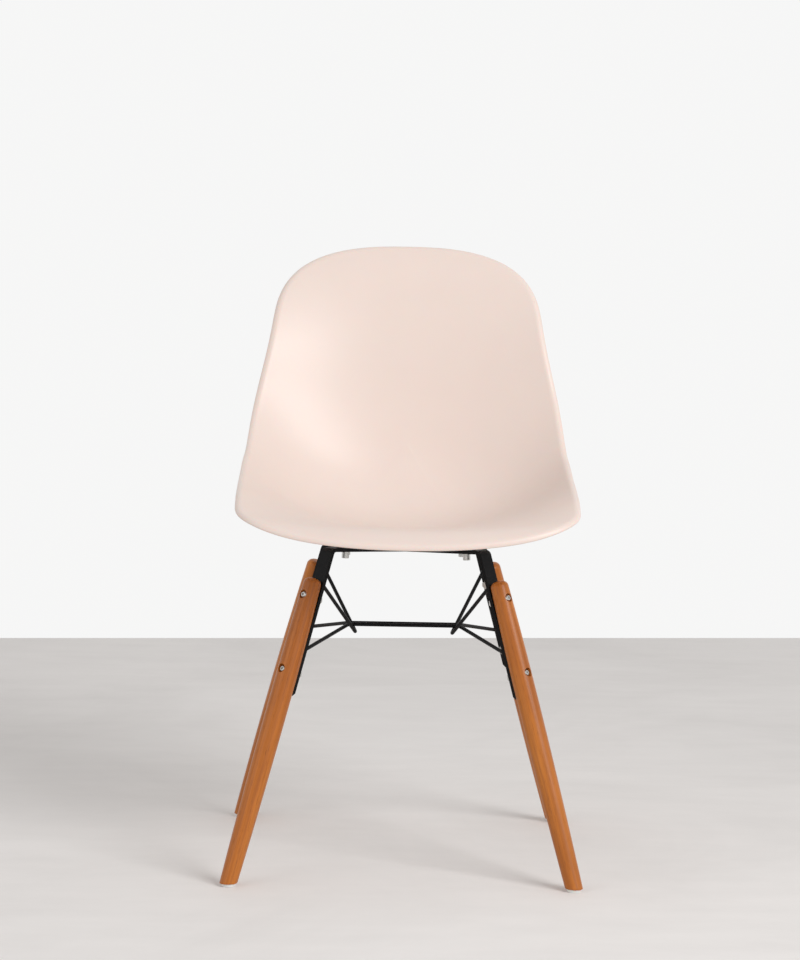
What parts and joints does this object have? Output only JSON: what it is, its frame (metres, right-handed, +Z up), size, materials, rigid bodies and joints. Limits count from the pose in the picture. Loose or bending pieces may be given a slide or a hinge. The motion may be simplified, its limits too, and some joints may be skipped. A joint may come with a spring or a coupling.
{
  "type": "moulded plastic shell chair",
  "caption": "One-piece moulded plastic shell seat and back on four splayed turned wood legs, bolted to a welded black steel bar and wire frame.",
  "frame": {"origin": "on the floor, under the middle of the chair's bounding box", "axes": "+Z up, +X to the right of someone who looks at the chair's front, -Y the way the seat faces"},
  "size_m": [0.476, 0.5077, 0.8309],
  "materials": {
    "shell_plastic": "satin moulded polypropylene",
    "stained_wood": "stained and satin lacquered",
    "black_steel": "black powder coat",
    "zinc_steel": "bright zinc plate",
    "glide_plastic": "plain white nylon",
    "mount_rubber": "plain black rubber",
    "insert_brass": "turned"
  },
  "bodies": {
    "root": {"frame_half_bar_back_left": "black_steel", "frame_half_bar_front_right": "black_steel", "frame_long_bar": "black_steel", "glide_back_left": "glide_plastic", "glide_back_right": "glide_plastic", "glide_front_left": "glide_plastic", "glide_front_right": "glide_plastic", "glide_nails": "zinc_steel", "leg_back_left": "stained_wood", "leg_back_right": "stained_wood", "leg_bolts": "zinc_steel", "leg_front_left": "stained_wood", "leg_front_right": "stained_wood", "leg_nuts": "zinc_steel", "leg_washers": "zinc_steel", "mount_screws": "zinc_steel", "mount_spring_washers": "zinc_steel", "mount_washers": "zinc_steel", "rubber_mount_back_left": "mount_rubber", "rubber_mount_back_right": "mount_rubber", "rubber_mount_front_left": "mount_rubber", "rubber_mount_front_right": "mount_rubber", "seat_shell": "shell_plastic", "spreader_rod_back": "black_steel", "spreader_rod_front": "black_steel", "threaded_inserts": "insert_brass", "vee_rod_left": "black_steel", "vee_rod_right": "black_steel"}
  },
  "joints": []
}
